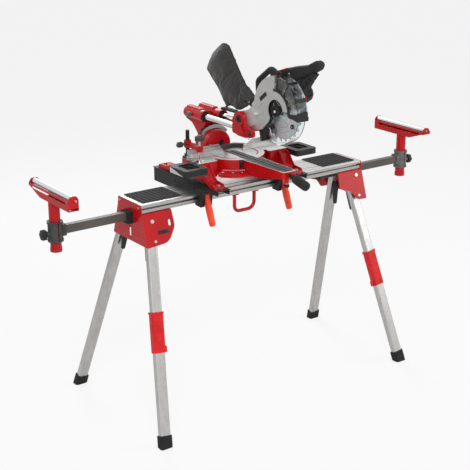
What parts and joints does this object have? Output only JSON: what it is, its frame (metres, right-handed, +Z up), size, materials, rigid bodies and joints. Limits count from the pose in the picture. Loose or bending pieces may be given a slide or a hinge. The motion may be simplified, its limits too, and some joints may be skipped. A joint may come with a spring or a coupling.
{
  "type": "mitre saw on stand",
  "caption": "Sliding compound mitre saw with a dust bag, clamped by quick-fit bars to a folding stand with extending roller supports",
  "frame": {"origin": "on the floor below the middle of the outline, legs unfolded and head raised", "axes": "+X to the operator's right along the rail, +Y away from the operator, +Z up"},
  "size_m": [1.6894, 0.7972, 1.3033],
  "materials": {
    "red_enamel": "glossy enamel",
    "red_plastic": "smooth moulding",
    "bare_aluminium": "machined",
    "bright_steel": "brushed",
    "polished_rail": "polished",
    "brown_steel": "satin coat",
    "grey_plastic": "matt moulding",
    "black_plastic": "matt moulding",
    "black_rubber": "matt",
    "black_steel": "satin coat",
    "clear_plastic": "clear",
    "charcoal_cloth": "woven"
  },
  "bodies": {
    "stand": {"rail": "bare_aluminium", "rail_fittings": "black_plastic", "end_bracket_left": "red_enamel", "end_bracket_right": "red_enamel", "bracket_bolts": "bright_steel", "carry_loop": "red_enamel"},
    "leg_front_left": {"leg_front_left": "bare_aluminium", "leg_grip_left": "red_plastic"},
    "lever_front_left": {"leg_lever_front_left": "black_plastic"},
    "leg_front_right": {"leg_front_right": "bare_aluminium", "leg_grip_right": "red_plastic"},
    "lever_front_right": {"leg_lever_front_right": "black_plastic"},
    "leg_rear_left": {"leg_rear_left": "bare_aluminium"},
    "lever_rear_left": {"leg_lever_rear_left": "black_plastic"},
    "leg_rear_right": {"leg_rear_right": "bare_aluminium"},
    "lever_rear_right": {"leg_lever_rear_right": "black_plastic"},
    "arm_left": {"support_arm_left": "brown_steel", "post_clamp_left": "grey_plastic"},
    "knob_left": {"clamp_knob_left": "black_plastic"},
    "post_left": {"support_post_left": "red_enamel"},
    "roller_left": {"support_roller_left": "bright_steel"},
    "arm_right": {"support_arm_right": "brown_steel", "post_clamp_right": "grey_plastic"},
    "knob_right": {"clamp_knob_right": "black_plastic"},
    "post_right": {"support_post_right": "red_enamel"},
    "roller_right": {"support_roller_right": "bright_steel"},
    "carriage": {"tool_bar_left": "black_steel", "tool_bar_right": "black_steel", "saw_base": "red_enamel", "fence": "bare_aluminium", "hold_down_post": "black_steel", "saw_bolts": "bright_steel"},
    "bar_lever_left": {"bar_lever_left": "red_plastic"},
    "sliding_fence_left": {"sliding_fence_left": "bare_aluminium"},
    "extension_left": {"extension_left": "black_plastic"},
    "bar_lever_right": {"bar_lever_right": "red_plastic"},
    "sliding_fence_right": {"sliding_fence_right": "bare_aluminium"},
    "extension_right": {"extension_right": "black_plastic"},
    "hold_arm": {"hold_down_arm": "red_enamel"},
    "hold_screw": {"hold_down_screw": "bright_steel"},
    "table": {"turntable": "bare_aluminium", "kerf_insert": "black_plastic"},
    "mitre_grip": {"mitre_handle": "black_plastic"},
    "tilt": {"tilt_arm": "red_enamel", "bevel_scale": "black_steel"},
    "bevel_clamp": {"bevel_lever": "black_plastic"},
    "slide": {"slide_rails": "polished_rail", "head_bracket": "red_enamel"},
    "rail_lock": {"slide_knob": "grey_plastic"},
    "head": {"head_casing": "bare_aluminium", "guard_window": "clear_plastic", "guard_frame": "black_plastic", "motor": "red_plastic", "main_handle": "black_plastic", "dust_chute": "black_rubber", "dust_bag": "charcoal_cloth"},
    "trigger": {"trigger": "black_plastic"},
    "blade": {"saw_blade": "bright_steel", "blade_arbor": "bright_steel"},
    "guard": {"lower_guard": "clear_plastic"}
  },
  "joints": [
    {"name": "fold_front_left", "type": "hinge", "parent": "stand", "child": "leg_front_left", "pos_m": [-0.468, 0.0024, 0.735], "axis": [0, 0.9537, -0.3007], "range_deg": [-88, 0]},
    {"name": "squeeze_front_left", "type": "hinge", "parent": "leg_front_left", "child": "lever_front_left", "pos_m": [-0.47374, 0.00464, 0.68855], "axis": [0.9914, -0.0392, -0.1245], "range_deg": [-7, 0], "stiffness_Nm_per_rad": 0.5, "springref_deg": 11.46},
    {"name": "fold_front_right", "type": "hinge", "parent": "stand", "child": "leg_front_right", "pos_m": [0.468, 0.03596, 0.735], "axis": [0, 0.9537, -0.3007], "range_deg": [0, 88]},
    {"name": "squeeze_front_right", "type": "hinge", "parent": "leg_front_right", "child": "lever_front_right", "pos_m": [0.47374, 0.03819, 0.68855], "axis": [0.9914, 0.0392, 0.1245], "range_deg": [-7, 0], "stiffness_Nm_per_rad": 0.5, "springref_deg": 11.46},
    {"name": "fold_rear_left", "type": "hinge", "parent": "stand", "child": "leg_rear_left", "pos_m": [-0.468, 0.1496, 0.735], "axis": [0, 0.9537, 0.3007], "range_deg": [-88, 0]},
    {"name": "squeeze_rear_left", "type": "hinge", "parent": "leg_rear_left", "child": "lever_rear_left", "pos_m": [-0.47374, 0.14736, 0.68855], "axis": [0.9914, 0.0392, -0.1245], "range_deg": [0, 7], "stiffness_Nm_per_rad": 0.5, "springref_deg": -11.46},
    {"name": "fold_rear_right", "type": "hinge", "parent": "stand", "child": "leg_rear_right", "pos_m": [0.468, 0.11604, 0.735], "axis": [0, 0.9537, 0.3007], "range_deg": [0, 88]},
    {"name": "squeeze_rear_right", "type": "hinge", "parent": "leg_rear_right", "child": "lever_rear_right", "pos_m": [0.47374, 0.11381, 0.68855], "axis": [0.9914, -0.0392, 0.1245], "range_deg": [0, 7], "stiffness_Nm_per_rad": 0.5, "springref_deg": -11.46},
    {"name": "arm_slide_left", "type": "slide", "parent": "stand", "child": "arm_left", "axis": [-1, 0, 0], "range_m": [-0.215, 0.1]},
    {"name": "knob_turn_left", "type": "hinge", "parent": "arm_left", "child": "knob_left", "pos_m": [-0.8, 0.076, 0.74], "axis": [1, 0, 0], "range_deg": [0, 180]},
    {"name": "post_slide_left", "type": "slide", "parent": "arm_left", "child": "post_left", "axis": [0, 0, 1], "range_m": [-0.065, 0.02]},
    {"name": "roller_spin_left", "type": "hinge", "parent": "post_left", "child": "roller_left", "pos_m": [-0.79, 0.076, 0.888], "axis": [0, 1, 0], "continuous": true},
    {"name": "arm_slide_right", "type": "slide", "parent": "stand", "child": "arm_right", "axis": [1, 0, 0], "range_m": [-0.215, 0.1]},
    {"name": "knob_turn_right", "type": "hinge", "parent": "arm_right", "child": "knob_right", "pos_m": [0.8, 0.076, 0.74], "axis": [1, 0, 0], "range_deg": [0, 180]},
    {"name": "post_slide_right", "type": "slide", "parent": "arm_right", "child": "post_right", "axis": [0, 0, 1], "range_m": [-0.065, 0.02]},
    {"name": "roller_spin_right", "type": "hinge", "parent": "post_right", "child": "roller_right", "pos_m": [0.79, 0.076, 0.888], "axis": [0, 1, 0], "continuous": true},
    {"name": "carriage_slide", "type": "slide", "parent": "stand", "child": "carriage", "axis": [1, 0, 0], "range_m": [-0.04, 0.06]},
    {"name": "bar_lever_turn_left", "type": "hinge", "parent": "carriage", "child": "bar_lever_left", "pos_m": [-0.2475, -0.021, 0.796], "axis": [1, 0, 0], "range_deg": [-60, 0]},
    {"name": "fence_slide_left", "type": "slide", "parent": "carriage", "child": "sliding_fence_left", "axis": [1, 0, 0], "range_m": [-0.05, 0]},
    {"name": "extension_slide_left", "type": "slide", "parent": "carriage", "child": "extension_left", "axis": [-1, 0, 0], "range_m": [0, 0.05]},
    {"name": "bar_lever_turn_right", "type": "hinge", "parent": "carriage", "child": "bar_lever_right", "pos_m": [0.0975, -0.021, 0.796], "axis": [1, 0, 0], "range_deg": [-60, 0]},
    {"name": "fence_slide_right", "type": "slide", "parent": "carriage", "child": "sliding_fence_right", "axis": [1, 0, 0], "range_m": [0, 0.05]},
    {"name": "extension_slide_right", "type": "slide", "parent": "carriage", "child": "extension_right", "axis": [1, 0, 0], "range_m": [0, 0.05]},
    {"name": "hold_arm_swing", "type": "hinge", "parent": "carriage", "child": "hold_arm", "pos_m": [-0.251, 0.086, 0.9623], "axis": [0, 0, 1], "range_deg": [-90, 40]},
    {"name": "hold_screw_travel", "type": "slide", "parent": "hold_arm", "child": "hold_screw", "axis": [0, 0, 1], "range_m": [0, 0.025]},
    {"name": "mitre_turn", "type": "hinge", "parent": "carriage", "child": "table", "pos_m": [-0.075, 0.048, 0.9123], "axis": [0, 0, 1], "range_deg": [-45, 45]},
    {"name": "mitre_grip_turn", "type": "hinge", "parent": "table", "child": "mitre_grip", "pos_m": [-0.075, -0.28, 0.8993], "axis": [0, -0.9744, -0.225], "range_deg": [0, 90]},
    {"name": "bevel_tilt", "type": "hinge", "parent": "table", "child": "tilt", "pos_m": [-0.075, 0.189, 0.9123], "axis": [0, 1, 0], "range_deg": [-45, 0]},
    {"name": "bevel_clamp_turn", "type": "hinge", "parent": "tilt", "child": "bevel_clamp", "pos_m": [-0.075, 0.232, 0.9123], "axis": [0, 1, 0], "range_deg": [0, 25]},
    {"name": "head_slide", "type": "slide", "parent": "tilt", "child": "slide", "axis": [0, -1, 0], "range_m": [-0.165, 0]},
    {"name": "rail_lock_turn", "type": "hinge", "parent": "tilt", "child": "rail_lock", "pos_m": [-0.125, 0.254, 1.0223], "axis": [1, 0, 0], "range_deg": [0, 90]},
    {"name": "head_chop", "type": "hinge", "parent": "slide", "child": "head", "pos_m": [-0.075, -0.055, 1.0623], "axis": [1, 0, 0], "range_deg": [0, 33], "stiffness_Nm_per_rad": 7, "springref_deg": -126.05},
    {"name": "trigger_pull", "type": "hinge", "parent": "head", "child": "trigger", "pos_m": [-0.05, -0.275, 1.2333], "axis": [1, 0, 0], "range_deg": [-6, 0], "stiffness_Nm_per_rad": 0.2, "springref_deg": 17.19},
    {"name": "blade_spin", "type": "hinge", "parent": "head", "child": "blade", "pos_m": [-0.075, -0.227, 1.1153], "axis": [1, 0, 0], "continuous": true},
    {"name": "guard_swing", "type": "hinge", "parent": "head", "child": "guard", "pos_m": [-0.075, -0.227, 1.1153], "axis": [1, 0, 0], "range_deg": [-140.1, 0]}
  ],
  "couplings": [
    {"joint": "guard_swing", "follows": "head_chop", "ratio": -4.2424}
  ]
}
